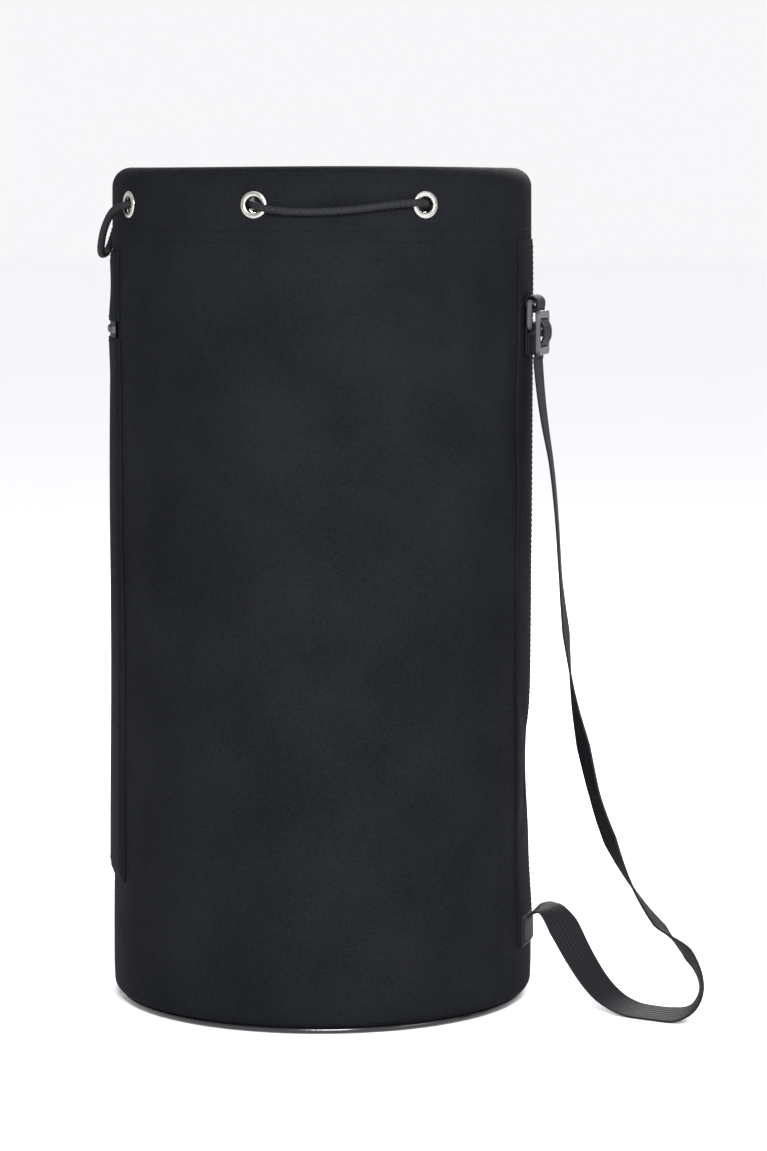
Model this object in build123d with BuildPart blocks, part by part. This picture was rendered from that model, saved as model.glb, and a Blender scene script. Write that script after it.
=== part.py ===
"""Rope storage bag: a tall round duffel that stands on its base, with a drawcord mouth through
six eyelets, a zipped pocket on its left side and an adjustable carrying strap on its right side.

Millimetres, +Z up. The origin is the middle of the base, where the bag stands.
Angles run from the front (-Y) towards +X, so 90 is the right side and 270 the left.
"""
from build123d import *
import math
import os

os.makedirs("parts", exist_ok=True)

# Bag
bag_radius = 152.4
bag_height = 605.0
wall = 1.6  # coated cloth with its foam backing
rim_roll = 14.0  # radius of the rim where the wall curves in to the mouth
base_corner = 8.0  # radius of the wall's bottom edge
fit_gap = 0.3  # between pieces that lie on each other

# Base
piping_height = 4.5
piping_reach = 4.0  # how far the piping stands out past the wall's bottom edge
base_sheet = 1.5
board_thickness = 3.0
binding_thickness = 1.0
binding_height = 14.0

# Hem and eyelets
hem_height = 45.0
facing = 1.0
eyelet_angles = [28, 158, 204, 250, 296, 342]
eyelet_drop = 27.0  # rim to eyelet centre
cord_room = 4.6  # how much wider the eyelet's hole is than the cord
eyelet_flange = 20.0
flange_thickness = 1.0
barrel_wall = 0.7
washer_thickness = 0.7

# Drawcord and its lock
cord_diameter = 6.0
knot_diameter = 11.0
cord_stand_off = 2.2  # bag to the cord, outside
cord_set_in = 1.8  # hem facing to the cord, inside
cord_slant = 2.66  # how far the cord moves round the bag from each eyelet's middle to its face
lock_angle = 181.0
lock_drop = 73.0  # eyelets to the lock
lock_shell = 2.0
lock_rail = 1.9  # barrel's bore to the cord slot, on each side
lock_clear = 0.8  # bag to the lock
lock_closed_end = 14.0  # cord's middle to the closed end
lock_open_end = 9.0  # cord's middle to the open end
lock_floor = 2.5
plunger_gap = 0.25
plunger_foot = 2.0
plunger_travel = 3.0
button_height = 7.0
button_edge = 1.5
spring_wire = 0.8
spring_turns = 3
knot_overlap = 0.5  # how far the cord runs into its knot

# Side pocket
pocket_start = 213.0
pocket_end = 289.0
pocket_bottom = 90.0
pocket_drop = 60.0  # rim to the pocket's top
pocket_cloth = 1.2
pocket_depth = 3.2  # wall to the pocket's outer face
pocket_turn_in = 6.0  # width of the sewn-down edge

# Pocket zip
zip_drop = 57.0  # pocket's top to the zip
zip_gap = 12.0  # between the two pocket panels
tape_width = 15.0
tape_thickness = 0.8
coil_width = 2.4  # one row
coil_height = 1.5
zip_end_angle = 4.0  # from the pocket's edge to the last tooth
stop_length = 3.0
slider_length = 11.0
slider_width = 9.0
slider_skirt = 0.5  # share of the slider's length that its side walls take
slider_top = 1.2
slider_gap = 0.25
bridge_height = 3.8
bridge_length = 7.0
bridge_wall = 1.1
pull_width = 7.0
pull_length = 28.0
pull_thickness = 1.6  # and the width of its round cross bar
pull_shoulder = 0.25  # shares of the pull's length: its square end, and down to the hole
pull_hole_at = 0.85
pull_nose = 0.45  # corner radius as a share of the pull's width

# Carrying strap
strap_angle = 74.5
strap_fall_angle = 57.0  # the way the hanging loop falls, seen from above
strap_width = 25.0
strap_thickness = 2.0
strap_start_gap = 1.4  # glide's lower edge to the top of the free strap
webbing = 1.5
strip_width = 44.0
strip_thickness = 1.2
strip_bottom = 42.0
strip_drop = 52.0  # rim to the strip's top
patch_height = 22.0
patch_width = 34.0
patch_thickness = 1.6
ring_bar = 3.8
ring_height = 22.0
ring_edge = 0.28  # share of the bar that each chamfer takes
ring_drop = 63.0  # strip's top to the ring's lower bar
tab_length = 20.5
side_room = 0.7  # webbing to the hardware's sides
glide_height = 32.0
glide_thickness = 3.2
glide_bar = 5.5
glide_drop = 20.0  # ring's lower bar to the glide's lower edge
glide_corner = 4.0
glide_edge = 0.2  # share of the glide's thickness that each rounding takes
bar_clear = 1.75  # how far past a bar's edge the strap runs level
fold_crown = 0.8  # how far the strap stands above the ring's top bar
fold_tail = 4.5  # ring's top bar down to the end of its turn
tail_drop = 3.0  # from there to the strap's cut end

inner_radius = bag_radius - wall
facing_radius = inner_radius - facing
eyelet_height = bag_height - eyelet_drop
eyelet_hole = cord_diameter + cord_room
edge_share = 0.45  # share of a plate's thickness that its edge rounding takes
corner_share = 0.45  # share of the shorter run that a corner's arc takes
pocket_top = bag_height - pocket_drop
zip_height = pocket_top - zip_drop
strip_top = bag_height - strip_drop
ring_hinge_height = strip_top - ring_drop
tab_bottom = ring_hinge_height - tab_length
glide_bottom = ring_hinge_height - glide_drop
hardware_width = strap_width + 2 * ring_bar + 2 * side_room


def section(angle):
    """The upright half plane at an angle: x is the distance from the axis, y the height."""
    turn = math.radians(angle)
    return Plane(
        origin=(0, 0, 0),
        x_dir=(math.sin(turn), -math.cos(turn), 0),
        z_dir=(-math.cos(turn), -math.sin(turn), 0),
    )


def facing_plane(angle, radius, height):
    """A plane that faces straight out from the axis: x runs round the bag, y up."""
    turn = math.radians(angle)
    return Plane(
        origin=(radius * math.sin(turn), -radius * math.cos(turn), height),
        x_dir=(math.cos(turn), math.sin(turn), 0),
        z_dir=(math.sin(turn), -math.cos(turn), 0),
    )


def round_the_bag(angle, radius, height):
    turn = math.radians(angle)
    return (radius * math.sin(turn), -radius * math.cos(turn), height)


def corner_radii(points):
    """The largest arc that each corner's two runs allow."""
    radii = []
    for before, corner, after in zip(points, points[1:], points[2:]):
        run_in = Vector(*corner) - Vector(*before)
        run_out = Vector(*after) - Vector(*corner)
        half_turn = math.radians(run_in.get_angle(run_out)) / 2
        radii.append(corner_share * min(run_in.length, run_out.length) / math.tan(half_turn))
    return radii


def rolled_wall(angle, arc, outside, thickness):
    """The wall's half section, from the base seam up to the mouth's edge, turned round the axis."""
    inside = outside - thickness
    foot = piping_height
    seam = outside - base_corner
    mouth = outside - rim_roll
    with BuildSketch(section(angle)) as profile:
        with BuildLine() as outline:
            Line((outside, bag_height - rim_roll), (outside, foot + base_corner))
            RadiusArc((outside, foot + base_corner), (seam, foot), base_corner)
            Line((seam, foot), (seam, foot + thickness))
            RadiusArc((seam, foot + thickness), (inside, foot + base_corner), -(base_corner - thickness))
            Line((inside, foot + base_corner), (inside, bag_height - rim_roll))
            RadiusArc((inside, bag_height - rim_roll), (mouth, bag_height - thickness), thickness - rim_roll)
            Line((mouth, bag_height - thickness), (mouth, bag_height))
            RadiusArc((mouth, bag_height), (outside, bag_height - rim_roll), rim_roll)
        make_face(outline.edges())
    revolve(profile.sketch, axis=Axis.Z, revolution_arc=arc)


def eyelet_planes(radius, angles):
    return [facing_plane(angle, radius, eyelet_height) for angle in angles]


# The two body panels, sewn together down the left and right sides
hole_radius = eyelet_hole / 2 + barrel_wall
front_eyelets = [angle for angle in eyelet_angles if angle < 90 or angle > 270]
back_eyelets = [angle for angle in eyelet_angles if 90 < angle < 270]

with BuildPart() as body_back_panel:
    rolled_wall(90, 180, bag_radius, wall)
    with Locations(*eyelet_planes(bag_radius, back_eyelets)):
        Hole(radius=hole_radius, depth=2 * rim_roll)

with BuildPart() as body_front_panel:
    rolled_wall(270, 180, bag_radius, wall)
    with Locations(*eyelet_planes(bag_radius, front_eyelets)):
        Hole(radius=hole_radius, depth=2 * rim_roll)

# The hem's inner facing
with BuildPart() as rim_facing:
    with BuildSketch(section(0)):
        with BuildLine():
            Line((inner_radius, bag_height - hem_height), (inner_radius, bag_height - rim_roll))
            RadiusArc(
                (inner_radius, bag_height - rim_roll),
                (bag_radius - rim_roll, bag_height - wall),
                -(rim_roll - wall),
            )
            Line(
                (bag_radius - rim_roll, bag_height - wall),
                (bag_radius - rim_roll, bag_height - wall - facing),
            )
            RadiusArc(
                (bag_radius - rim_roll, bag_height - wall - facing),
                (facing_radius, bag_height - rim_roll),
                rim_roll - wall - facing,
            )
            Line((facing_radius, bag_height - rim_roll), (facing_radius, bag_height - hem_height))
            Line((facing_radius, bag_height - hem_height), (inner_radius, bag_height - hem_height))
        make_face()
    revolve(axis=Axis.Z)
    with Locations(*eyelet_planes(bag_radius, eyelet_angles)):
        Hole(radius=hole_radius, depth=2 * rim_roll)

# Eyelets: the flanged half outside, and the washer that it is set over inside
washer_seat = math.sqrt(facing_radius**2 - (eyelet_flange / 2) ** 2)
with BuildPart() as eyelet:
    with BuildSketch():
        Circle(eyelet_flange / 2)
        Circle(eyelet_hole / 2, mode=Mode.SUBTRACT)
    extrude(amount=flange_thickness)
    fillet(eyelet.edges().group_by(Axis.Z)[-1], flange_thickness * edge_share)
    with BuildSketch():
        Circle(eyelet_hole / 2 + barrel_wall)
        Circle(eyelet_hole / 2, mode=Mode.SUBTRACT)
    extrude(amount=-(bag_radius - washer_seat + washer_thickness))

with BuildPart() as washer:
    with BuildSketch():
        Circle(eyelet_flange / 2)
        Circle(eyelet_hole / 2 + barrel_wall, mode=Mode.SUBTRACT)
    extrude(amount=-washer_thickness)

with BuildPart() as grommet_eyelets:
    with Locations(*eyelet_planes(bag_radius, eyelet_angles)):
        add(eyelet.part)

with BuildPart() as grommet_washers:
    with Locations(*eyelet_planes(washer_seat, eyelet_angles)):
        add(washer.part)

# Base: a vinyl sheet with a corded edge, a stiffening board and the bound seam inside
piping_outside = bag_radius - base_corner + piping_reach
piping_inside = piping_outside - piping_height
with BuildPart() as base_panel:
    with BuildSketch():
        Circle(piping_inside)
    extrude(amount=base_sheet)

with BuildPart() as base_piping:
    with BuildSketch(section(0)):
        with Locations((piping_outside - piping_height / 2, piping_height / 2)):
            Circle(piping_height / 2)
    revolve(axis=Axis.Z)

with BuildPart() as base_board:
    with BuildSketch(Plane.XY.offset(base_sheet + fit_gap)):
        Circle(piping_inside - piping_height)
    extrude(amount=board_thickness)

with BuildPart() as base_seam_binding:
    with BuildSketch(section(0)):
        with Locations((inner_radius - binding_thickness, piping_height + base_corner)):
            Rectangle(binding_thickness, binding_height, align=(Align.MIN, Align.MIN))
    revolve(axis=Axis.Z)


def band(angle, arc, inside, outside, low, high, mode=Mode.ADD):
    """A curved plate on the bag's side."""
    with BuildSketch(section(angle)) as profile:
        with Locations((inside, low)):
            Rectangle(outside - inside, high - low, align=(Align.MIN, Align.MIN))
    revolve(profile.sketch, axis=Axis.Z, revolution_arc=arc, mode=mode)


# Side pocket: two flat panels, their edges turned in and sewn down, and the zip between them
pocket_inside = bag_radius + fit_gap
pocket_outside = bag_radius + pocket_depth
pocket_cavity = pocket_outside - pocket_cloth
pocket_arc = pocket_end - pocket_start
turn_in_angle = math.degrees(pocket_turn_in / bag_radius)
zip_low = zip_height - zip_gap / 2
zip_high = zip_height + zip_gap / 2


def pocket_panel(low, high, open_low, open_high):
    open_start = pocket_start + turn_in_angle
    open_arc = pocket_arc - 2 * turn_in_angle
    band(pocket_start, pocket_arc, pocket_inside, pocket_outside, low, high)
    band(open_start, open_arc, pocket_inside, pocket_cavity, open_low, open_high, Mode.SUBTRACT)


with BuildPart() as pocket_lower_panel:
    pocket_panel(pocket_bottom, zip_low, pocket_bottom + pocket_turn_in, zip_low)

with BuildPart() as pocket_upper_panel:
    pocket_panel(zip_high, pocket_top, zip_high, pocket_top - pocket_turn_in)

# Zip: two tapes under the panels, each with its row of coil, a slider with its pull, and stops
zip_start = pocket_start + turn_in_angle + 1
zip_arc = pocket_arc - 2 * turn_in_angle - 2
tape_inside = pocket_cavity - tape_thickness
tooth_start = pocket_start + zip_end_angle
tooth_arc = pocket_arc - 2 * zip_end_angle

with BuildPart() as zip_tape_lower:
    band(zip_start, zip_arc, tape_inside, pocket_cavity, zip_height - tape_width, zip_height)

with BuildPart() as zip_tape_upper:
    band(zip_start, zip_arc, tape_inside, pocket_cavity, zip_height, zip_height + tape_width)

coil_outside = pocket_cavity + coil_height
with BuildPart() as zip_coil_lower:
    band(tooth_start, tooth_arc, pocket_cavity, coil_outside, zip_height - coil_width, zip_height)

with BuildPart() as zip_coil_upper:
    band(tooth_start, tooth_arc, pocket_cavity, coil_outside, zip_height, zip_height + coil_width)

stop_arc = math.degrees(stop_length / bag_radius)
with BuildPart() as zip_stops:
    for stop_at in (tooth_start - stop_arc, tooth_start + tooth_arc):
        band(stop_at, stop_arc, pocket_cavity, coil_outside, zip_height - coil_width, zip_height + coil_width)

slider_angle = tooth_start + math.degrees((slider_length / 2 + fit_gap) / bag_radius)
slider_middle = facing_plane(slider_angle, coil_outside + slider_gap, zip_height)
side_depth = slider_gap + coil_height - fit_gap
bridge_side = Plane(origin=slider_middle.origin, x_dir=slider_middle.y_dir, z_dir=slider_middle.x_dir)
bridge_opening = bridge_height - bridge_wall
with BuildPart() as zip_slider:
    with BuildSketch(slider_middle):
        SlotOverall(slider_length, slider_width)
    extrude(amount=slider_top)
    with BuildSketch(slider_middle):
        with GridLocations(0, slider_width - bridge_wall, 1, 2):
            Rectangle(slider_length * slider_skirt, bridge_wall)
    extrude(amount=-side_depth)
    with BuildSketch(bridge_side):
        with Locations((0, slider_top)):
            Rectangle(bridge_length, bridge_height, align=(Align.CENTER, Align.MIN))
            Rectangle(
                bridge_length - 2 * bridge_wall,
                bridge_opening,
                align=(Align.CENTER, Align.MIN),
                mode=Mode.SUBTRACT,
            )
    extrude(amount=bridge_wall, both=True)

# The pull hangs from the slider's bridge by its cross bar
bar_plane = slider_middle.offset(slider_top + bridge_opening / 2)
window_reach = math.hypot(bridge_length / 2, bridge_opening / 2 + bridge_wall) + fit_gap
bridge_window = 2 * (bridge_wall + fit_gap)
with BuildPart() as zip_pull:
    with BuildSketch(bar_plane):
        Rectangle(pull_width, pull_length / 2, align=(Align.CENTER, Align.MAX))
        with Locations((0, -pull_length * pull_shoulder)):
            RectangleRounded(
                pull_width,
                pull_length * (1 - pull_shoulder),
                pull_width * pull_nose,
                align=(Align.CENTER, Align.MAX),
            )
        Rectangle(bridge_window, window_reach, align=(Align.CENTER, Align.MAX), mode=Mode.SUBTRACT)
        with Locations((0, -pull_length * pull_hole_at)):
            Circle(pull_width / 4, mode=Mode.SUBTRACT)
    extrude(amount=pull_thickness / 2, both=True)
    with Locations(bar_plane):
        Cylinder(pull_thickness / 2, pull_width, rotation=(0, 90, 0))

# Webbing and hardware on the right side
strip_arc = math.degrees(strip_width / bag_radius)
strip_inside = bag_radius + fit_gap
strip_outside = strip_inside + strip_thickness
with BuildPart() as strap_backing_strip:
    band(strap_angle - strip_arc / 2, strip_arc, strip_inside, strip_outside, strip_bottom, strip_top)

patch_arc = math.degrees(patch_width / bag_radius)
with BuildPart() as strap_anchor_patch:
    band(
        strap_angle - patch_arc / 2,
        patch_arc,
        strip_outside,
        strip_outside + patch_thickness,
        strip_bottom,
        strip_bottom + patch_height,
    )

tab_hole = ring_bar / 2 + fit_gap
tab_roll = tab_hole + webbing
ring_radius = strip_outside + fit_gap + tab_roll
ring_top_bar = ring_hinge_height + ring_height - ring_bar
with BuildPart() as strap_tab:
    with BuildSketch(section(strap_angle)):
        with Locations((ring_radius, ring_hinge_height)):
            Circle(tab_roll)
        with Locations((ring_radius - tab_roll, tab_bottom)):
            Rectangle(2 * webbing, ring_hinge_height - tab_bottom, align=(Align.MIN, Align.MIN))
        with Locations((ring_radius, ring_hinge_height)):
            Circle(tab_hole, mode=Mode.SUBTRACT)
    extrude(amount=strap_width / 2, both=True)

ring_middle = ring_hinge_height + (ring_height - ring_bar) / 2
with BuildPart() as rect_ring:
    with BuildSketch(facing_plane(strap_angle, ring_radius, ring_middle)):
        RectangleRounded(hardware_width, ring_height, ring_bar)
        Rectangle(hardware_width - 2 * ring_bar, ring_height - 2 * ring_bar, mode=Mode.SUBTRACT)
    extrude(amount=ring_bar / 2, both=True)
    long_edges = rect_ring.edges().filter_by(GeomType.LINE).filter_by(
        lambda edge: edge.length > ring_height / 2
    )
    chamfer(long_edges, ring_bar * ring_edge)

glide_radius = ring_radius + ring_bar / 2 + 2 * webbing + glide_thickness / 2
glide_slot = (glide_height - 3 * glide_bar) / 2
with BuildPart() as tri_glide:
    with BuildSketch(facing_plane(strap_angle, glide_radius, glide_bottom + glide_height / 2)):
        RectangleRounded(hardware_width, glide_height, glide_corner)
        with GridLocations(0, glide_bar + glide_slot, 1, 2):
            Rectangle(hardware_width - 2 * ring_bar, glide_slot, mode=Mode.SUBTRACT)
    extrude(amount=glide_thickness / 2, both=True)
    fillet(tri_glide.edges().filter_by(GeomType.LINE), glide_thickness * glide_edge)

# The strap's doubled end: over the ring's top bar, through the glide and over its middle bar
lap = webbing / 2 + fit_gap  # a bar's face to the middle of the webbing on it
behind_glide = glide_radius - glide_thickness / 2 - lap
before_glide = glide_radius + glide_thickness / 2 + lap
glide_middle = glide_bottom + glide_height / 2
glide_pitch = glide_bar + glide_slot
over_ring = ring_bar / 2 + lap
ring_crown = ring_top_bar + over_ring
fold_points = [
    (behind_glide, glide_bottom),
    (behind_glide, glide_middle - glide_pitch + glide_bar / 2),
    (before_glide, glide_middle - glide_bar / 2 - bar_clear),
    (before_glide, glide_middle + glide_bar / 2 + bar_clear),
    (behind_glide, glide_middle + glide_pitch - bar_clear),
    (behind_glide + webbing, ring_top_bar + webbing / 2),
    (ring_radius + webbing, ring_crown + fold_crown),
    (ring_radius - over_ring, ring_crown - fit_gap),
    (ring_radius - over_ring, ring_top_bar - fold_tail),
    (ring_radius + webbing - fit_gap, ring_top_bar - fold_tail - tail_drop),
]
fold_radii = corner_radii([(*point, 0) for point in fold_points])
with BuildPart() as strap_fold:
    with BuildSketch(section(strap_angle)):
        with BuildLine():
            FilletPolyline(*fold_points, radius=fold_radii)
        trace(line_width=webbing)
    extrude(amount=strap_width / 2, both=True)

# The free strap: a hanging loop in one upright plane, as (distance out, height). Its upper
# points follow the glide, and its heights follow the height of its top
strap_hang = behind_glide - bag_radius + 1.5 * fit_gap
strap_drawn = [
    (strap_hang, 468.6),
    (strap_hang + 1.2, 452.0),
    (strap_hang + 5.7, 420.0),
    (strap_hang + 11.7, 392.0),
    (26.0, 352.0),
    (29.0, 306.0),
    (34.0, 268.0),
    (39.0, 226.0),
    (49.0, 186.0),
    (58.5, 150.0),
    (72.0, 119.0),
    (90.0, 88.0),
    (114.0, 62.0),
    (138.0, 46.0),
    (146.5, 23.0),
    (132.0, 3.0),
    (108.0, 1.4),
    (84.0, 2.0),
    (62.0, 15.0),
    (44.0, 38.0),
    (31.0, 60.0),
    (17.5, 73.0),
    (7.5, 66.0),
]
strap_stretch = (glide_bottom - strap_start_gap) / strap_drawn[0][1]
strap_route = [(out, height * strap_stretch) for out, height in strap_drawn]
fall = math.radians(strap_fall_angle)
strap_plane = Plane(
    origin=round_the_bag(strap_angle, bag_radius, 0),
    x_dir=(math.sin(fall), -math.cos(fall), 0),
    z_dir=(-math.cos(fall), -math.sin(fall), 0),
)
strap_radii = corner_radii([(*point, 0) for point in strap_route])
with BuildPart() as shoulder_strap:
    with BuildSketch(strap_plane):
        with BuildLine() as strap_line:
            FilletPolyline(*strap_route, radius=strap_radii)
        trace(line_width=strap_thickness)
    extrude(amount=strap_width / 2, both=True)

# Drawcord: from one knot up through the lock, in and out of the eyelets and back, as
# (angle, distance from the axis, height above the eyelets)
cord_hole = cord_diameter + 2 * fit_gap
lock_slot = 2 * cord_hole
lock_diameter = lock_slot + 2 * (lock_rail + lock_shell)
lock_radius = bag_radius + lock_clear + lock_diameter / 2
cord_outside = bag_radius + cord_diameter / 2 + cord_stand_off
cord_inside = facing_radius - cord_diameter / 2 - cord_set_in
slant = math.degrees(cord_slant / bag_radius)
cord_route = [
    (181.0, lock_radius - cord_hole / 2, -100.0),
    (181.0, lock_radius - cord_hole / 2, -37.0),
    (189.0, cord_outside + 1.0, -16.0),
    (197.0, cord_outside, -3.0),
    (204 - slant, cord_outside - 0.4, 1.4),
    (204 + slant, cord_inside, -1.0),
    (213.5, cord_inside, -3.5),
    (227.0, cord_inside, -5.0),
    (240.5, cord_inside, -2.5),
    (250 - slant, cord_inside, 1.0),
    (250 + slant, cord_outside - 0.2, -2.4),
    (254.0, cord_outside + 1.9, -20.0),
    (259.0, cord_outside + 2.9, -35.0),
    (268.0, cord_outside + 3.4, -37.5),
    (277.5, cord_outside + 3.9, -31.5),
    (283.5, cord_outside + 3.9, -18.0),
    (289.5, cord_outside + 1.9, -5.0),
    (296 - slant, cord_outside - 0.2, -0.6),
    (296 + slant, cord_inside, 0.6),
    (305.5, cord_inside, -1.5),
    (319.0, cord_inside, -3.0),
    (332.5, cord_inside, -1.5),
    (342 - slant, cord_inside, 0.6),
    (342 + slant, cord_outside - 0.3, -1.2),
    (351.0, cord_outside, -5.0),
    (365.0, cord_outside, -4.4),
    (379.0, cord_outside, 0.6),
    (388 - slant, cord_outside - 0.3, 2.0),
    (388 + slant, cord_inside, -1.0),
    (397.5, cord_inside, -4.0),
    (411.0, cord_inside, -7.0),
    (430.0, cord_inside, -9.5),
    (453.0, cord_inside, -11.0),
    (476.0, cord_inside, -9.5),
    (495.0, cord_inside, -7.0),
    (508.5, cord_inside, -4.0),
    (518 - slant, cord_inside, -1.0),
    (518 + slant, cord_outside - 0.3, 1.4),
    (525.0, cord_outside + 0.4, -3.0),
    (533.0, cord_outside + 3.9, -16.0),
    (541.0, lock_radius + cord_hole / 2, -37.0),
    (541.0, lock_radius + cord_hole / 2, -100.0),
]
cord_points = [round_the_bag(angle, radius, eyelet_height + up) for angle, radius, up in cord_route]
cord_radii = corner_radii(cord_points)
cord_start = Vector(*cord_points[0])
with BuildPart() as drawcord:
    with BuildLine() as cord_line:
        FilletPolyline(*cord_points, radius=cord_radii)
    with BuildSketch(Plane(origin=cord_start, z_dir=Vector(*cord_points[1]) - cord_start)):
        Circle(cord_diameter / 2)
    sweep(transition=Transition.ROUND)

with BuildPart() as drawcord_knots:
    for end in (cord_points[0], cord_points[-1]):
        with Locations(Vector(*end) - Vector(0, 0, knot_diameter / 2 - knot_overlap)):
            Sphere(knot_diameter / 2)

# Cord lock: a barrel with a cross slot for the two cords, and a sprung plunger
lock_centre = facing_plane(lock_angle, lock_radius, eyelet_height - lock_drop)
lock_axis = Plane(origin=lock_centre.origin, x_dir=lock_centre.z_dir, z_dir=lock_centre.x_dir)
slot_plane = Plane(origin=lock_centre.origin, x_dir=lock_centre.z_dir, z_dir=(0, 0, 1))
bore = lock_diameter - 2 * lock_shell
with BuildPart() as cord_lock_barrel:
    with BuildSketch(lock_axis.offset(-lock_closed_end)):
        Circle(lock_diameter / 2)
    extrude(amount=lock_closed_end + lock_open_end)
    fillet(cord_lock_barrel.edges().filter_by(GeomType.CIRCLE), lock_shell * edge_share)
    with BuildSketch(lock_axis.offset(lock_floor - lock_closed_end)):
        Circle(bore / 2)
    extrude(amount=lock_closed_end + lock_open_end, mode=Mode.SUBTRACT)
    with BuildSketch(slot_plane):
        SlotOverall(lock_slot, cord_hole)
    extrude(amount=lock_diameter, both=True, mode=Mode.SUBTRACT)

foot_end = cord_hole / 2 + plunger_foot
with BuildPart() as cord_lock_plunger:
    with BuildSketch(lock_axis.offset(-foot_end)):
        Circle(bore / 2 - plunger_gap)
    extrude(amount=foot_end + lock_open_end + button_height)
    along_lock = Axis(lock_axis.origin, lock_axis.z_dir)
    fillet(cord_lock_plunger.edges().filter_by(GeomType.CIRCLE).sort_by(along_lock)[-1], button_edge)
    with BuildSketch(slot_plane):
        with Locations((0, plunger_travel / 2)):
            Rectangle(lock_slot, cord_hole + plunger_travel)
    extrude(amount=lock_diameter, both=True, mode=Mode.SUBTRACT)

spring_length = lock_closed_end - lock_floor - foot_end
spring_radius = bore / 2 - 2 * spring_wire
spring_base = lock_axis.offset(lock_floor - lock_closed_end + spring_wire)
spring_height = spring_length - 2 * spring_wire
with BuildPart() as cord_lock_spring:
    with BuildLine() as coil:
        Helix(
            spring_height / spring_turns,
            spring_height,
            spring_radius,
            center=spring_base.origin,
            direction=spring_base.z_dir,
        )
    with BuildSketch(Plane(origin=coil.line @ 0, z_dir=coil.line % 0)):
        Circle(spring_wire / 2)
    sweep(is_frenet=True)

pieces = {
    "body_front_panel": body_front_panel,
    "body_back_panel": body_back_panel,
    "rim_facing": rim_facing,
    "grommet_eyelets": grommet_eyelets,
    "grommet_washers": grommet_washers,
    "base_panel": base_panel,
    "base_piping": base_piping,
    "base_board": base_board,
    "base_seam_binding": base_seam_binding,
    "pocket_lower_panel": pocket_lower_panel,
    "pocket_upper_panel": pocket_upper_panel,
    "zip_tape_lower": zip_tape_lower,
    "zip_tape_upper": zip_tape_upper,
    "zip_coil_lower": zip_coil_lower,
    "zip_coil_upper": zip_coil_upper,
    "zip_stops": zip_stops,
    "zip_slider": zip_slider,
    "zip_pull": zip_pull,
    "strap_backing_strip": strap_backing_strip,
    "strap_anchor_patch": strap_anchor_patch,
    "strap_tab": strap_tab,
    "rect_ring": rect_ring,
    "tri_glide": tri_glide,
    "strap_fold": strap_fold,
    "shoulder_strap": shoulder_strap,
    "drawcord": drawcord,
    "drawcord_knots": drawcord_knots,
    "cord_lock_barrel": cord_lock_barrel,
    "cord_lock_plunger": cord_lock_plunger,
    "cord_lock_spring": cord_lock_spring,
}
for name, piece in pieces.items():
    piece.part.label = name
    export_step(piece.part, f"parts/{name}.step")

cord_area = math.pi * (cord_diameter / 2) ** 2
cord_length = cord_line.wires()[0].length
print("cord radii", [round(radius, 1) for radius in cord_radii])
print("cord length", cord_length, "volume ratio", drawcord.part.volume / cord_area / cord_length)
strap_length = strap_line.wires()[0].length
strap_area = strap_width * strap_thickness
print("strap radii", [round(radius, 1) for radius in strap_radii])
print("strap length", strap_length, "volume ratio", shoulder_strap.part.volume / strap_area / strap_length)
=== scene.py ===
import bpy
import math
import numpy as np
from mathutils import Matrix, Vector


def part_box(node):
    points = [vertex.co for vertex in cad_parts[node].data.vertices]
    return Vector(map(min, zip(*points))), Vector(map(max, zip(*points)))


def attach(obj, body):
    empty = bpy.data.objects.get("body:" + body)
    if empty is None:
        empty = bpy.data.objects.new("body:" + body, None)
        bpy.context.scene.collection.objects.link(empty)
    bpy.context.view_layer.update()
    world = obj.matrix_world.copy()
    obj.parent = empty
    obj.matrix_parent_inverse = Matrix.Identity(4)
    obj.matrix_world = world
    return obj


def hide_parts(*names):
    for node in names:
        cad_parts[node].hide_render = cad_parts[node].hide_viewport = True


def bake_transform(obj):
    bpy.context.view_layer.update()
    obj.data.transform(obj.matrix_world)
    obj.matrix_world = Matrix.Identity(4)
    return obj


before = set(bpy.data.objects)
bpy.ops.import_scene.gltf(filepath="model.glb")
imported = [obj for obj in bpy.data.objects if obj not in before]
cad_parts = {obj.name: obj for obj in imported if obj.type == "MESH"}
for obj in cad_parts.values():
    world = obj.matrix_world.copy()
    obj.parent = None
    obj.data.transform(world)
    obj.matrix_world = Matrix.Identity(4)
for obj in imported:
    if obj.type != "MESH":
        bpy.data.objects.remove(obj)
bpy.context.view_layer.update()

# ---------------------------------------------------------------------------------------------
# Camera: long lens, a little under the rim, nearly straight on to the front of the bag.
bag_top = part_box("body_front_panel")[1].z
camera_data = bpy.data.cameras.new("studio_camera")
camera = bpy.data.objects.new("studio_camera", camera_data)
bpy.context.scene.collection.objects.link(camera)
camera_data.sensor_fit = "VERTICAL"
camera_data.sensor_height = 36.0
camera_data.lens = 115.69
camera_data.shift_y = -0.1471
camera.location = (0.0, -2.7, bag_top - 0.017)
camera.rotation_euler = (math.radians(90 - 3.34), 0.0, math.radians(-0.95))
bpy.context.scene.camera = camera

# ---------------------------------------------------------------------------------------------
# Drawcord: black braided polyester, 6 mm, woven in and out of the eyelets, its two ends through
# the cord lock at the back. The braid is sixteen strands laid over and under round a core.


def around(angle, radius, height):
    """A point at an angle from the front towards the right, in metres."""
    turn = math.radians(angle)
    return Vector((radius * math.sin(turn), -radius * math.cos(turn), height))


def linear(hex_colour, alpha=1.0):
    """An sRGB hex colour as the shader's linear colour."""
    parts = [int(hex_colour[i : i + 2], 16) / 255 for i in (1, 3, 5)]
    return (*(c / 12.92 if c <= 0.04045 else ((c + 0.055) / 1.055) ** 2.4 for c in parts), alpha)


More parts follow.
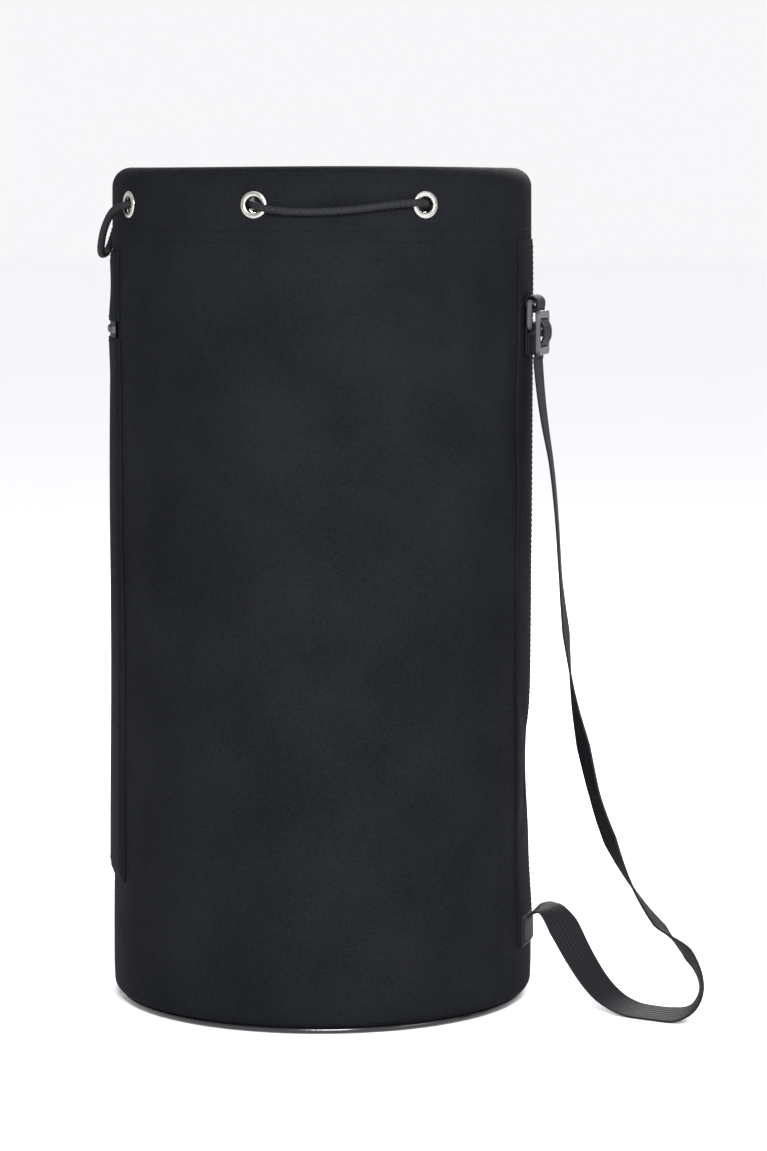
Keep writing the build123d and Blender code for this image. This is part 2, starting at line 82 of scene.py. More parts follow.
def add_node(material, kind, inputs=None, **settings):
    """A shader node with its settings, and its inputs set or linked."""
    tree = material.node_tree
    new = tree.nodes.new(kind)
    for name, value in settings.items():
        setattr(new, name, value)
    for name, value in (inputs or {}).items():
        if isinstance(value, bpy.types.NodeSocket):
            tree.links.new(value, new.inputs[name])
        else:
            new.inputs[name].default_value = value
    return new


def new_material(name, **sockets):
    """A material whose shader's sockets have these values; returns it and its shader."""
    material = bpy.data.materials.new(name)
    material.use_nodes = True
    shader = material.node_tree.nodes["Principled BSDF"]
    for socket, value in sockets.items():
        shader.inputs[socket.replace("_", " ")].default_value = value
    return material, shader


def link(material, output, shader, socket):
    material.node_tree.links.new(output, shader.inputs[socket])


def object_noise(material, scale, **inputs):
    """Noise at this scale over the piece's own Object coordinates."""
    place = add_node(material, "ShaderNodeTexCoord")
    return add_node(
        material, "ShaderNodeTexNoise", {"Vector": place.outputs["Object"], "Scale": scale, **inputs}
    )


def tint(material, shader, factor, low, high):
    """Base colour that runs between two sRGB hex colours."""
    ramp = add_node(material, "ShaderNodeValToRGB", {"Fac": factor})
    for stop, hex_colour in zip(ramp.color_ramp.elements, (low, high)):
        stop.color = linear(hex_colour)
    link(material, ramp.outputs["Color"], shader, "Base Color")


def roughen(material, shader, factor, low, high):
    """Roughness that runs between two values."""
    spread = add_node(material, "ShaderNodeMapRange", {"Value": factor, "To Min": low, "To Max": high})
    link(material, spread.outputs["Result"], shader, "Roughness")


def spline_points(name, points, samples):
    """The route's own smooth line: a NURBS spline with these control points, read as points."""
    curve = bpy.data.curves.new(name, "CURVE")
    curve.dimensions = "3D"
    curve.resolution_u = samples
    spline = curve.splines.new("NURBS")
    spline.points.add(len(points) - 1)
    for point, place in zip(spline.points, points):
        point.co = (*place, 1.0)
    spline.order_u = 3
    spline.use_endpoint_u = True
    holder = bpy.data.objects.new(name, curve)
    bpy.context.scene.collection.objects.link(holder)
    bpy.context.view_layer.update()
    line = bpy.data.meshes.new_from_object(holder)
    found = [vertex.co.copy() for vertex in line.vertices]
    bpy.data.objects.remove(holder)
    bpy.data.meshes.remove(line)
    return found


def evenly(points, spacing):
    """The same line with points a spacing apart."""
    places = np.array([tuple(point) for point in points])
    along = np.concatenate(([0.0], np.cumsum(np.linalg.norm(np.diff(places, axis=0), axis=1))))
    wanted = np.linspace(0.0, along[-1], int(along[-1] / spacing) + 1)
    even = np.stack([np.interp(wanted, along, places[:, axis]) for axis in range(3)], axis=1)
    return [Vector(point) for point in even], along[-1]


def carried_frames(points):
    """For each point its tangent and two normals, carried along the line without twisting."""
    frames = []
    across = None
    for index, point in enumerate(points):
        before = points[max(index - 1, 0)]
        after = points[min(index + 1, len(points) - 1)]
        tangent = (after - before).normalized()
        if across is None:
            across = tangent.orthogonal()
        across = (across - tangent * across.dot(tangent)).normalized()
        frames.append((tangent, across, tangent.cross(across)))
    return frames


def mesh_piece(name, vertices, faces, uvs=None):
    """A piece from its vertices and faces, with a UV for each vertex."""
    mesh = bpy.data.meshes.new(name)
    mesh.from_pydata([tuple(v) for v in vertices], [], faces)
    if uvs is not None:
        layer = mesh.uv_layers.new(name="cloth")
        corner = np.empty(len(mesh.loops), dtype=np.int32)
        mesh.loops.foreach_get("vertex_index", corner)
        layer.data.foreach_set("uv", np.asarray(uvs, dtype=np.float32)[corner].ravel())
    mesh.shade_smooth()
    piece = bpy.data.objects.new(name, mesh)
    bpy.context.scene.collection.objects.link(piece)
    return piece


cord_radius = 0.003
cord_route = [
    (181.0, 0.1604, 0.478),
    (181.0, 0.1604, 0.541),
    (189.0, 0.1586, 0.562),
    (197.0, 0.1576, 0.575),
    (203.0, 0.1572, 0.5794),
    (205.0, 0.145, 0.577),
    (213.5, 0.145, 0.5745),
    (227.0, 0.145, 0.573),
    (240.5, 0.145, 0.5755),
    (249.0, 0.145, 0.579),
    (251.0, 0.1574, 0.5756),
    (254.0, 0.1595, 0.558),
    (259.0, 0.1605, 0.543),
    (268.0, 0.161, 0.5405),
    (277.5, 0.1615, 0.5465),
    (283.5, 0.1615, 0.56),
    (289.5, 0.1595, 0.573),
    (295.0, 0.1574, 0.5774),
    (297.0, 0.145, 0.5786),
    (305.5, 0.145, 0.5765),
    (319.0, 0.145, 0.575),
    (332.5, 0.145, 0.5765),
    (341.0, 0.145, 0.5786),
    (343.0, 0.1573, 0.5768),
    (351.0, 0.1576, 0.573),
    (365.0, 0.1576, 0.5736),
    (379.0, 0.1576, 0.5786),
    (387.0, 0.1573, 0.58),
    (389.0, 0.145, 0.577),
    (397.5, 0.145, 0.574),
    (411.0, 0.145, 0.571),
    (430.0, 0.145, 0.5685),
    (453.0, 0.145, 0.567),
    (476.0, 0.145, 0.5685),
    (495.0, 0.145, 0.571),
    (508.5, 0.145, 0.574),
    (517.0, 0.145, 0.577),
    (519.0, 0.1573, 0.5794),
    (525.0, 0.158, 0.575),
    (533.0, 0.1615, 0.562),
    (541.0, 0.167, 0.541),
    (541.0, 0.167, 0.478),
]
cord_line, cord_length = evenly(spline_points("drawcord_line", [around(*p) for p in cord_route], 16), 0.0008)
cord_sides = 28
braid_carriers = 4  # humps round the cord in each direction
braid_pitch = 0.016  # one strand's turn round the cord, in metres
strand_height = 0.00085


def braided_tube(name, line, radius):
    """A tube whose surface rises over each strand of the braid."""
    vertices, uvs = [], []
    for ring, (point, (tangent, across, up)) in enumerate(zip(line, carried_frames(line))):
        along = ring * 0.0008
        for side in range(cord_sides):
            turn = 2 * math.pi * side / cord_sides
            left = math.cos(braid_carriers * (turn + 2 * math.pi * along / braid_pitch))
            right = math.cos(braid_carriers * (turn - 2 * math.pi * along / braid_pitch))
            reach = radius - strand_height * (1 - 0.5 * max(left, right) - 0.25 * abs(left * right))
            vertices.append(point + reach * (math.cos(turn) * across + math.sin(turn) * up))
            uvs.append((turn * radius, along))
    faces = []
    for ring in range(len(line) - 1):
        for side in range(cord_sides):
            a, b = ring * cord_sides + side, ring * cord_sides + (side + 1) % cord_sides
            faces.append((a, b, b + cord_sides, a + cord_sides))
    faces.append(tuple(reversed(range(cord_sides))))
    last = (len(line) - 1) * cord_sides
    faces.append(tuple(range(last, last + cord_sides)))
    return mesh_piece(name, vertices, faces, uvs)


drawcord = braided_tube("drawcord_braid", cord_line, cord_radius + 0.0001)

# Braided polyester: dull, each strand's filaments catch a thin grey light.
cord_cloth, shader = new_material("braided_polyester_cord", Roughness=0.62, Specular_IOR_Level=0.12)
grain = add_node(cord_cloth, "ShaderNodeTexCoord")
fibre = add_node(
    cord_cloth, "ShaderNodeTexNoise", {"Vector": grain.outputs["Object"], "Scale": 900.0, "Detail": 3.0}
)
tint(cord_cloth, shader, fibre.outputs["Fac"], "#0b0c0d", "#1e1f22")
fuzz = add_node(
    cord_cloth, "ShaderNodeBump", {"Height": fibre.outputs["Fac"], "Strength": 0.4, "Distance": 0.0002}
)
link(cord_cloth, fuzz.outputs["Normal"], shader, "Normal")
drawcord.data.materials.append(cord_cloth)

# The overhand knots that stop the cord's ends from pulling back through the lock
knot_size = 0.0024
for number, end in enumerate((cord_route[0], cord_route[-1])):
    centre = around(*end) - Vector((0, 0, 0.0045))
    loop = []
    for step in range(97):
        t = 2 * math.pi * step / 96
        x = math.sin(t) + 2 * math.sin(2 * t)
        y = math.cos(t) - 2 * math.cos(2 * t)
        z = -math.sin(3 * t)
        loop.append(centre + Vector((x, z * 1.1, y)) * 0.00105)
    knot = braided_tube(f"drawcord_knot_{number + 1}", evenly(loop, 0.0008)[0], knot_size)
    knot.data.materials.append(cord_cloth)
    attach(knot, "bag")
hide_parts("drawcord_knots")
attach(drawcord, "bag")
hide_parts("drawcord")

# ---------------------------------------------------------------------------------------------
# Carrying strap: 25 mm black polyester webbing. Its free loop hangs from the adjuster, twists
# as it falls, lies on the floor and comes back to the anchor patch near the base.
strap_width = 0.025
strap_thickness = 0.0016
strap_angle = 74.5
bag_radius = 0.1524
strap_fall = math.radians(57.0)
strap_route = [
    (0.0098, 0.4686),
    (0.011, 0.452),
    (0.0155, 0.42),
    (0.0215, 0.392),
    (0.026, 0.352),
    (0.029, 0.306),
    (0.034, 0.268),
    (0.039, 0.226),
    (0.049, 0.186),
    (0.0585, 0.15),
    (0.072, 0.119),
    (0.09, 0.088),
    (0.114, 0.062),
    (0.138, 0.046),
    (0.1465, 0.023),
    (0.132, 0.003),
    (0.108, 0.0014),
    (0.084, 0.002),
    (0.062, 0.015),
    (0.044, 0.038),
    (0.031, 0.06),
    (0.0175, 0.073),
    (0.0075, 0.066),
]
# How far the webbing is turned at each point of the route, in degrees
strap_turns = [-17, -18, -21, -25, -27, -27, -20, -34, -50, -46, -50, -30, -14, -44, -33, -18, -11]
strap_turns += [-11, -14, -20, -28, -6, -14]
strap_foot = around(strap_angle, bag_radius, 0.0)
strap_out = Vector((math.sin(strap_fall), -math.cos(strap_fall), 0.0))
strap_side = Vector((-math.cos(strap_fall), -math.sin(strap_fall), 0.0))
strap_points = [strap_foot + strap_out * out + Vector((0, 0, height)) for out, height in strap_route]
strap_line, strap_length = evenly(spline_points("strap_line", strap_points, 24), 0.003)


def curved_sheet(name, columns, rows, place, flat_size, thickness, offset=-1.0):
    """A grid laid out by place(u, v) with u and v from 0 to 1, given its cloth's thickness."""
    bpy.ops.object.select_all(action="DESELECT")
    bpy.ops.mesh.primitive_grid_add(x_subdivisions=columns, y_subdivisions=rows, size=1.0)
    sheet = bpy.context.object
    sheet.name = name
    mesh = sheet.data
    spots = np.empty(len(mesh.vertices) * 3)
    mesh.vertices.foreach_get("co", spots)
    spots = spots.reshape(-1, 3)[:, :2] + 0.5
    for vertex, (u, v) in zip(mesh.vertices, spots):
        vertex.co = place(float(u), float(v))
    layer = mesh.uv_layers.active
    flat = np.empty(len(layer.data) * 2, dtype=np.float32)
    layer.data.foreach_get("uv", flat)
    layer.data.foreach_set("uv", (flat.reshape(-1, 2) * np.array(flat_size, np.float32)).ravel())
    layer.name = "cloth"
    bpy.ops.object.transform_apply(location=True, rotation=True, scale=True)
    solid = sheet.modifiers.new("cloth_thickness", "SOLIDIFY")
    solid.thickness = thickness
    solid.offset = offset
    bpy.ops.object.modifier_apply(modifier=solid.name)
    mesh.shade_smooth()
    return sheet


def ribbon(name, line, sides, width, thickness, across=14, crown=0.0):
    """Webbing along a line, its width along each point's side direction."""
    frames = carried_frames(line)

    def place(u, v):
        step = v * (len(line) - 1)
        index = min(int(step), len(line) - 2)
        share = step - index
        centre = line[index].lerp(line[index + 1], share)
        side = sides[index].lerp(sides[index + 1], share).normalized()
        rise = frames[index][0].cross(side).normalized()
        ribs = 0.00012 * math.cos(8 * 2 * math.pi * u)
        return centre + side * (u - 0.5) * width + rise * (crown * (1 - (2 * u - 1) ** 2) + ribs)

    length = sum((b - a).length for a, b in zip(line, line[1:]))
    return curved_sheet(name, across, len(line) - 1, place, (width, length), thickness, 0.0)


strap_sides = []
for index, (tangent, _, _) in enumerate(carried_frames(strap_line)):
    # The spline's points lie evenly, its control points do not, so the turn is read by distance
    share = index / (len(strap_line) - 1)
    control = np.cumsum([0.0] + [(b - a).length for a, b in zip(strap_points, strap_points[1:])])
    turn = math.radians(np.interp(share * control[-1], control, strap_turns))
    side = (strap_side - tangent * strap_side.dot(tangent)).normalized()
    strap_sides.append(side * math.cos(turn) + tangent.cross(side) * math.sin(turn))
shoulder_strap = ribbon("shoulder_strap_webbing", strap_line, strap_sides, strap_width, strap_thickness, 48)

# The loop rests on the floor: where it would sink in, it is lifted by as much
floor_lift = 0.0018
for vertex in shoulder_strap.data.vertices:
    near_floor = min(max(1 - (vertex.co.z + floor_lift) / 0.012, 0.0), 1.0)
    vertex.co.z += floor_lift * near_floor

# Woven polyester webbing: ribs along its length crossed by fine weft, dull with a faint sheen; its colour is
# darker in the weave's grooves, painted shade between the threads.
webbing_cloth, shader = new_material(
    "woven_polyester_webbing", Roughness=0.6, Specular_IOR_Level=0.1
)
cloth_uv = add_node(webbing_cloth, "ShaderNodeUVMap", uv_map="cloth")
weft_spacing = 0.0011  # a real weft is 0.7 mm; drawn a little coarser so that it shows
rib_spacing = 0.0017
weft = add_node(
    webbing_cloth,
    "ShaderNodeTexWave",
    {"Vector": cloth_uv.outputs["UV"], "Scale": 0.314 / weft_spacing, "Distortion": 0.6},
    bands_direction="Y",
)
rib = add_node(
    webbing_cloth,
    "ShaderNodeTexWave",
    {"Vector": cloth_uv.outputs["UV"], "Scale": 0.314 / rib_spacing, "Distortion": 0.2},
    bands_direction="X",
)
weave = add_node(
    webbing_cloth, "ShaderNodeMath", {0: weft.outputs["Fac"], 1: rib.outputs["Fac"]}, operation="MULTIPLY"
)
# Painted shade: the weave's height also sets the colour, darker where the grooves between threads lie low
tint(webbing_cloth, shader, weave.outputs["Value"], "#0d0e10", "#222327")
relief = add_node(
    webbing_cloth, "ShaderNodeBump", {"Height": weave.outputs["Value"], "Strength": 0.55, "Distance": 0.0004}
)
link(webbing_cloth, relief.outputs["Normal"], shader, "Normal")
shoulder_strap.data.materials.append(webbing_cloth)
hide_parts("shoulder_strap")
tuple(strap_points[0])
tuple(strap_points[5])
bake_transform(shoulder_strap)
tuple(strap_points[0])

# ---------------------------------------------------------------------------------------------
# Body: two half-round panels of heavy coated polyester, sewn down both sides and turned in at
# the mouth. Foam backing lets the bag stand, with soft waves and a dent low on its right side.
bag_height = 0.605
foot_height = 0.0045
base_corner = 0.008
rim_roll = 0.014
wall = 0.0016
eyelet_angles = [28, 158, 204, 250, 296, 342]
eyelet_height = 0.578


def smooth_step(low, high, value):
    share = min(max((value - low) / (high - low), 0.0), 1.0)
    return share * share * (3 - 2 * share)


def angle_from(angle, centre):
    """How far an angle lies from another, in degrees, the short way round."""
    return (angle - centre + 180) % 360 - 180


# Soft creases: start angle and height, end angle and height, depth and half width in metres
creases = [
    (52, 0.556, 66, 0.512, 0.0011, 0.006),
    (57, 0.535, 66, 0.470, 0.0009, 0.008),
    (40, 0.548, 60, 0.527, 0.0007, 0.007),
    (66, 0.470, 64, 0.395, 0.0016, 0.010),
    (68, 0.230, 84, 0.170, 0.0014, 0.009),
    (66, 0.120, 84, 0.160, 0.0012, 0.009),
    (305, 0.470, 312, 0.330, 0.0008, 0.014),
    (318, 0.300, 309, 0.110, 0.0008, 0.014),
    (345, 0.420, 352, 0.190, 0.0006, 0.018),
    (20, 0.380, 12, 0.120, 0.0006, 0.020),
]


def cloth_wave(angle, height):
    """How far the cloth stands out from a true cylinder."""
    turn = math.radians(angle)
    calm = smooth_step(0.05, 0.11, height) * (1 - smooth_step(0.50, 0.56, height))
    zipped = smooth_step(0.0, 1.0, abs(height - 0.488) / 0.04)
    if abs(angle_from(angle, 251)) < 50 or abs(angle_from(angle, 74.5)) < 16:
        calm *= zipped
    wave = 0.0010 * math.sin(3 * turn + 0.6 + 5 * height) + 0.0008 * math.sin(5 * turn - 1.1 - 7 * height)
    wave += 0.0004 * math.sin(11 * turn + 16 * height) - 0.0007
    dent = 0.0062 * math.exp(-((angle_from(angle, 86) / 9.0) ** 2) - ((height - 0.166) / 0.034) ** 2)
    dent += 0.0012 * math.exp(-((angle_from(angle, 92) / 8.0) ** 2) - ((height - 0.33) / 0.06) ** 2)
    for start_angle, start, end_angle, end, depth, width in creases:
        arc = math.radians(angle_from(angle, start_angle)) * bag_radius
        run = Vector((math.radians(angle_from(end_angle, start_angle)) * bag_radius, end - start))
        spot = Vector((arc, height - start))
        share = min(max(spot.dot(run) / run.length_squared, 0.0), 1.0)
        away = (spot - run * share).length / width
        if away < 3:
            dent += depth * math.exp(-away * away) * math.sin(math.pi * (0.15 + 0.7 * share))
    flare = 0.0009 * (1 - height / bag_height) * smooth_step(0.0, 0.03, height)
    return (wave - dent) * calm + flare


def on_cloth(angle, height, out=0.0):
    """A point on the bag's side, a distance out from its cloth."""
    return around(angle, bag_radius + cloth_wave(angle, height) + out, height)


def wall_profile(outside):
    """The wall's outline as (radius, height) rows, from the base seam to the mouth's edge."""
    rows = []
    for step in range(9):
        turn = math.radians(90 * step / 8)
        inset, rise = base_corner * (1 - math.sin(turn)), base_corner * (1 - math.cos(turn))
        rows.append((outside - inset, foot_height + rise))
    straight = 150
    low, high = foot_height + base_corner, bag_height - rim_roll
    rows += [(outside, low + (high - low) * step / straight) for step in range(1, straight)]
    for step in range(13):
        turn = math.radians(90 * step / 12)
        rows.append((outside - rim_roll * (1 - math.cos(turn)), high + rim_roll * math.sin(turn)))
    return rows


bag_rows = wall_profile(bag_radius)
seam_depth = 0.0009
seam_width = 0.0025
punch_radius = 0.0059
punch_length = 0.03


def punch_eyelet(piece, angle):
    """Cuts an eyelet's hole through the cloth."""
    bpy.ops.object.select_all(action="DESELECT")
    bpy.ops.mesh.primitive_cylinder_add(
        vertices=32,
        radius=punch_radius,
        depth=punch_length,
        location=around(angle, bag_radius, eyelet_height),
        rotation=around(angle, 1.0, 0.0).to_track_quat("Z", "Y").to_euler(),
    )
    punch = bpy.context.object
    cut = piece.modifiers.new("eyelet_hole", "BOOLEAN")
    cut.operation = "DIFFERENCE"
    cut.solver = "EXACT"
    cut.object = punch
    bpy.context.view_layer.objects.active = piece
    bpy.ops.object.modifier_apply(modifier=cut.name)
    bpy.data.objects.remove(punch)


def body_panel(name, first_angle):
    def place(u, v):
        angle = first_angle + 180 * u
        radius, height = bag_rows[round(v * (len(bag_rows) - 1))]
        seam = math.radians(90 - abs(180 * u - 90)) * bag_radius / seam_width
        tuck = seam_depth * math.exp(-seam * seam) * (1 - smooth_step(0.57, 0.59, height))
        rim_wave = 0.0003 * math.sin(math.radians(angle) * 3 + 1) * smooth_step(0.59, 0.605, height)
        return around(angle, radius + cloth_wave(angle, height) - tuck, height + rim_wave - 0.0005)

    flat = (math.pi * bag_radius, bag_height)
    panel = curved_sheet(name, 150, len(bag_rows) - 1, place, flat, wall)
    for angle in eyelet_angles:
        if 0 < (angle - first_angle) % 360 < 180:
            punch_eyelet(panel, angle)
    return panel


front_panel = body_panel("front_panel_cloth", 270)
back_panel = body_panel("back_panel_cloth", 90)

# 600 denier polyester, plain weave with a polyurethane coat: near black, matt, with a broad soft
# shine and a fine thread grain, here 1.3 mm so that it shows.
bag_cloth, shader = new_material("coated_polyester_cloth", Roughness=0.62, Specular_IOR_Level=0.008)
cloth_uv = add_node(bag_cloth, "ShaderNodeUVMap", uv_map="cloth")
thread_spacing = 0.0013
warp = add_node(
    bag_cloth,
    "ShaderNodeTexWave",
    {"Vector": cloth_uv.outputs["UV"], "Scale": 0.314 / thread_spacing, "Distortion": 1.2, "Detail": 1.0},
    bands_direction="X",
)
weft = add_node(
    bag_cloth,
    "ShaderNodeTexWave",
    {"Vector": cloth_uv.outputs["UV"], "Scale": 0.314 / thread_spacing, "Distortion": 1.2, "Detail": 1.0},
    bands_direction="Y",
)
weave = add_node(
    bag_cloth, "ShaderNodeMath", {0: warp.outputs["Fac"], 1: weft.outputs["Fac"]}, operation="ADD"
)
place_node = add_node(bag_cloth, "ShaderNodeTexCoord")
cloud = add_node(
    bag_cloth, "ShaderNodeTexNoise", {"Vector": place_node.outputs["Object"], "Scale": 14.0, "Detail": 4.0}
)
slub = add_node(
    bag_cloth, "ShaderNodeTexNoise", {"Vector": place_node.outputs["Object"], "Scale": 620.0, "Detail": 2.0}
)
mixed = add_node(
    bag_cloth, "ShaderNodeMath", {0: cloud.outputs["Fac"], 1: slub.outputs["Fac"]}, operation="ADD"
)
tone = add_node(
    bag_cloth, "ShaderNodeMapRange", {"Value": mixed.outputs["Value"], "From Min": 0.7, "From Max": 1.3}
)
tint(bag_cloth, shader, tone.outputs["Result"], "#0f1012", "#17181b")
height_mix = add_node(
    bag_cloth, "ShaderNodeMath", {0: weave.outputs["Value"], 1: slub.outputs["Fac"]}, operation="ADD"
)
relief = add_node(
    bag_cloth, "ShaderNodeBump", {"Height": height_mix.outputs["Value"], "Strength": 0.5, "Distance": 0.0003}
)
link(bag_cloth, relief.outputs["Normal"], shader, "Normal")


def finish_piece(piece, material, slot, body, *nodes):
    """Gives a piece its material and body, and the CAD nodes that it stands for. The slot is not used."""
    piece.data.materials.clear()
    piece.data.materials.append(material)
    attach(piece, body)
    if nodes:
        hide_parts(*nodes)


finish_piece(front_panel, bag_cloth, "shell_cloth", "bag", "body_front_panel")
finish_piece(back_panel, bag_cloth, "shell_cloth", "bag", "body_back_panel")

# ---------------------------------------------------------------------------------------------
# Stitching: black bonded polyester thread in lock stitch, one row or two along each sewn edge.
bpy.ops.object.select_all(action="DESELECT")
bpy.ops.mesh.primitive_uv_sphere_add(segments=6, ring_count=4, radius=1.0)
stitch_template = bpy.context.object
stitch_verts = np.array([tuple(v.co) for v in stitch_template.data.vertices])
stitch_faces = [tuple(p.vertices) for p in stitch_template.data.polygons]
bpy.data.objects.remove(stitch_template)
stitch_pitch = 0.0038
stitch_size = (0.00032, 0.00155, 0.0003)
thread, shader = new_material("bonded_polyester_thread", Roughness=0.5, Specular_IOR_Level=0.02)
strand = object_noise(thread, 1500.0)
tint(thread, shader, strand.outputs["Fac"], "#0c0d0e", "#17181a")


def stitches(name, rows, body):
    """Rows of stitches, each a list of points on the cloth with the way out of it."""
    vertices, faces = [], []
    for row in rows:
        line, length = evenly([p for p, _ in row], stitch_pitch)
        outs = np.array([tuple(out) for _, out in row])
        for index in range(len(line) - 1):
            share = index / max(len(line) - 2, 1) * (len(outs) - 1)
            low = min(int(share), len(outs) - 2)
            out = Vector(outs[low] + (outs[low + 1] - outs[low]) * (share - low)).normalized()
            along = (line[index + 1] - line[index]).normalized()
            across = along.cross(out).normalized()
            middle = (line[index] + line[index + 1]) / 2
            turn = np.array([tuple(across), tuple(along), tuple(out)])
            start = len(vertices)
            vertices += list((stitch_verts * stitch_size) @ turn + np.array(tuple(middle)))
            faces += [tuple(start + corner for corner in face) for face in stitch_faces]
    piece = mesh_piece(name, vertices, faces)
    finish_piece(piece, thread, "webbing", body)
    return piece


def level_row(first, last, height, out):
    count = max(int(abs(last - first) / 2), 2)
    angles = np.linspace(first, last, count)
    return [(on_cloth(a, height, out), around(a, 1.0, 0.0)) for a in angles]


def upright_row(angle, low, high, out):
    heights = np.linspace(low, high, max(int((high - low) / 0.008), 2))
    return [(on_cloth(angle, h, out), around(angle, 1.0, 0.0)) for h in heights]


hem_rows = [level_row(0, 360, height, 0.0001) for height in (0.5600, 0.5522)]
seam_rows = [upright_row(angle, 0.015, 0.585, -0.0002) for angle in (88.2, 91.8, 268.2, 271.8)]
stitches("hem_and_seam_stitching", hem_rows + seam_rows, "bag")

# ---------------------------------------------------------------------------------------------
# Hem facing and the bound base seam inside: a band of the same cloth round the mouth, turned
# down 45 mm, and a strip of binding sewn over the raw edges at the bottom.
facing = 0.001
facing_rows = [
    (radius - wall - 0.0001, height - (wall if height > 0.6 else 0.0))
    for radius, height in bag_rows
    if height > bag_height - 0.045
]


def facing_place(u, v):
    radius, height = facing_rows[round(v * (len(facing_rows) - 1))]
    return around(360 * u, radius + cloth_wave(360 * u, height), height - 0.0006)


rim_facing = curved_sheet(
    "hem_facing_cloth", 240, len(facing_rows) - 1, facing_place, (2 * math.pi * bag_radius, 0.06), facing
)
for angle in eyelet_angles:
    punch_eyelet(rim_facing, angle)
finish_piece(rim_facing, bag_cloth, "shell_cloth", "bag", "rim_facing")


def binding_place(u, v):
    angle = 360 * u
    bulge = 0.0006 * math.sin(math.pi * v)
    return around(angle, bag_radius - wall - 0.0004 - bulge, foot_height + 0.009 + 0.013 * v)


binding = curved_sheet("base_seam_binding_tape", 180, 6, binding_place, (0.95, 0.013), 0.0008)
finish_piece(binding, webbing_cloth, "webbing", "bag", "base_seam_binding")

# ---------------------------------------------------------------------------------------------
# Side pocket: two flat panels of the bag's cloth on its left side, edges turned in and sewn
# down, with a long zip set between them 115 mm below the rim.
pocket_start, pocket_end = 213.0, 289.0
pocket_bottom, pocket_top = 0.090, 0.545
zip_height = 0.488
zip_half_gap = 0.006
pocket_cloth = 0.0012
pocket_depth = 0.0032
turn_in = 0.006


def pocket_panel(name, low, high, low_sewn, high_sewn, columns, rows):
    def place(u, v):
        height = low + (high - low) * v
        sway = 1.1 * math.sin(9 * height + 0.4) + 0.5 * math.sin(31 * height)
        edge = pocket_end + sway * smooth_step(0.0, 0.3, u)
        angle = pocket_start + (edge - pocket_start) * u
        sides = min(u, 1 - u) * math.radians(edge - pocket_start) * bag_radius
        low_edge = (height - low) if low_sewn else 1.0
        high_edge = (high - height) if high_sewn else 1.0
        inset = smooth_step(0.0, turn_in, min(sides, low_edge, high_edge))
        valley = 0.0005 * math.exp(-(((min(sides, low_edge, high_edge) - 0.0055) / 0.0012) ** 2))
        billow = 0.0004 * math.sin(7 * u + 20 * height) * inset
        return on_cloth(angle, height, 0.0012 + (pocket_depth - 0.0014) * inset - valley + billow - 0.0002)

    flat = (math.radians(pocket_end - pocket_start) * bag_radius, high - low)
    panel = curved_sheet(name, columns, rows, place, flat, pocket_cloth)
    finish_piece(panel, bag_cloth, "shell_cloth", "bag")
    return panel


zip_low, zip_high = zip_height - zip_half_gap, zip_height + zip_half_gap
lower_pocket = pocket_panel("pocket_lower_cloth", pocket_bottom, zip_low, True, False, 90, 190)
upper_pocket = pocket_panel("pocket_upper_cloth", zip_high, pocket_top, False, True, 90, 36)
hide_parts("pocket_lower_panel")
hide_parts("pocket_upper_panel")
pocket_stitch_rows = [
    level_row(pocket_start + 2, pocket_end - 2, pocket_bottom + 0.004, 0.0024),
    level_row(pocket_start + 2, pocket_end - 2, pocket_bottom + 0.0085, 0.0031),
    level_row(pocket_start + 2, pocket_end - 2, pocket_top - 0.004, 0.0024),
    level_row(pocket_start + 2, pocket_end - 2, zip_low - 0.003, 0.0031),
    level_row(pocket_start + 2, pocket_end - 2, zip_high + 0.003, 0.0031),
    upright_row(pocket_start + 1.6, pocket_bottom + 0.004, zip_low - 0.003, 0.0024),
    upright_row(pocket_start + 1.6, zip_high + 0.003, pocket_top - 0.004, 0.0024),
    upright_row(pocket_end - 1.4, pocket_bottom + 0.004, zip_low - 0.003, 0.0024),
    upright_row(pocket_end - 1.4, zip_high + 0.003, pocket_top - 0.004, 0.0024),
]
stitches("pocket_stitching", pocket_stitch_rows, "bag")

# ---------------------------------------------------------------------------------------------
# Pocket zip: a number 5 nylon coil sewn to two woven tapes, metal stops at its ends, and a
# black enamelled zinc slider with a pull.
tape_out = 0.0012


def zip_tape(name, low, high, node):
    def place(u, v):
        angle = pocket_start + 3.3 + (pocket_end - pocket_start - 6.6) * u
        return around(angle, bag_radius + tape_out + 0.0008, low + (high - low) * v)

    tape = curved_sheet(name, 100, 10, place, (0.185, high - low), 0.0006)
    finish_piece(tape, webbing_cloth, "webbing", "bag", node)


zip_tape("zip_tape_lower_weave", zip_height - 0.014, zip_height - 0.0002, "zip_tape_lower")
zip_tape("zip_tape_upper_weave", zip_height + 0.0002, zip_height + 0.014, "zip_tape_upper")

coil_pitch = 0.0013
turn_radius = 0.00105
filament_radius = 0.00042
bpy.ops.object.select_all(action="DESELECT")
bpy.ops.mesh.primitive_torus_add(
    major_segments=10, minor_segments=5, major_radius=turn_radius, minor_radius=filament_radius
)
turn_template = bpy.context.object
turn_verts = np.array([tuple(v.co) for v in turn_template.data.vertices])
turn_faces = [tuple(p.vertices) for p in turn_template.data.polygons]
bpy.data.objects.remove(turn_template)
